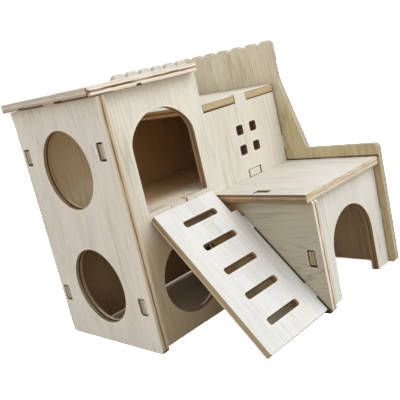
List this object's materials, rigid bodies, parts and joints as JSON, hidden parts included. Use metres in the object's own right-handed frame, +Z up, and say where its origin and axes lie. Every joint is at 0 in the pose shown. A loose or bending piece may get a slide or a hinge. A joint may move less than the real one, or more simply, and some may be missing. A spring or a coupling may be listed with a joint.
{
  "type": "hamster house",
  "caption": "Free-standing plywood house for small pets: tower with a lift-off roof, arched doors, round windows, a deck with a scalloped parapet, a den under a terrace and a slotted ramp.",
  "frame": {"origin": "centre of the bounding box at the level of the table the house stands on", "axes": "+X to the right along the front, from the tower to the deck; +Y from the front to the back; +Z up"},
  "size_m": [0.161, 0.1608, 0.1589],
  "materials": {
    "wall_ply": "matte, pale upright grain with scorched laser-cut edges",
    "inner_ply": "matte, pale tan plywood in shade",
    "top_ply": "matte, bleached plywood with banded edges"
  },
  "bodies": {
    "house": {"left_panel": "wall_ply", "front_panel": "wall_ply", "back_panel": "inner_ply", "right_panel": "inner_ply", "upper_deck": "top_ply", "middle_floor": "inner_ply", "terrace_board": "top_ply", "den_left_wall": "inner_ply", "den_front_wall": "wall_ply", "ramp": "top_ply"},
    "roof": {"tower_roof": "top_ply"}
  },
  "joints": [
    {"name": "roof_lift", "type": "slide", "parent": "house", "child": "roof", "axis": [0, 0, 1], "range_m": [0, 0.06]}
  ]
}
